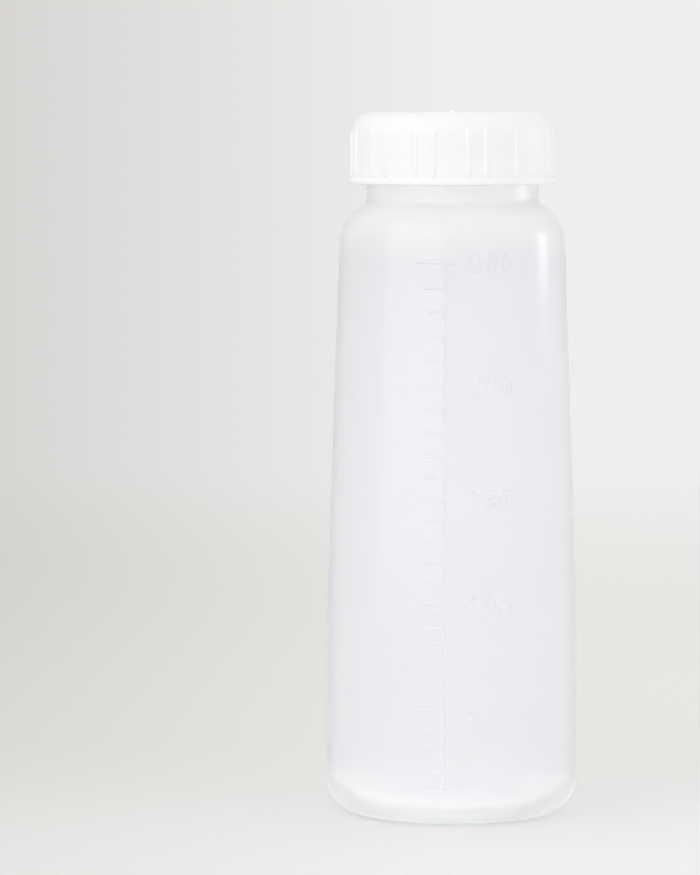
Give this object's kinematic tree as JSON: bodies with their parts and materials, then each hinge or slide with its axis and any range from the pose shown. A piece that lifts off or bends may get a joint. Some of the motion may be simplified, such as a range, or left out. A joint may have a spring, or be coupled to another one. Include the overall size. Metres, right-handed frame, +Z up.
{
  "type": "centrifuge bottle",
  "caption": "Wide-mouth plastic bottle with a slightly tapered body, rounded shoulder, raised volume scale and a ribbed screw cap that turns and lifts off.",
  "frame": {"origin": "centre of the base, on the plane that the bottle stands on", "axes": "+Z up along the bottle's axis; -Y is the front, where the volume scale is; +X is to the right of the scale"},
  "size_m": [0.0558, 0.0559, 0.1559],
  "materials": {
    "bottle_plastic": "clear cloudy blow-moulded polypropylene, smooth",
    "liner_foam": "soft closed-cell foam, matt",
    "cap_plastic": "white injection-moulded polypropylene, satin"
  },
  "bodies": {
    "bottle": {"bottle": "bottle_plastic"},
    "liner": {"sealing_liner": "liner_foam"},
    "cap": {"screw_cap": "cap_plastic"}
  },
  "joints": [
    {"name": "cap_lift", "type": "slide", "parent": "bottle", "child": "liner", "axis": [0, 0, 1], "range_m": [0, 0.014]},
    {"name": "cap_turn", "type": "hinge", "parent": "liner", "child": "cap", "pos_m": [0, 0, 0.1476], "axis": [0, 0, 1], "range_deg": [0, 1200]}
  ],
  "couplings": [
    {"joint": "cap_lift", "follows": "cap_turn", "m_per_rad": 0.00066845}
  ]
}
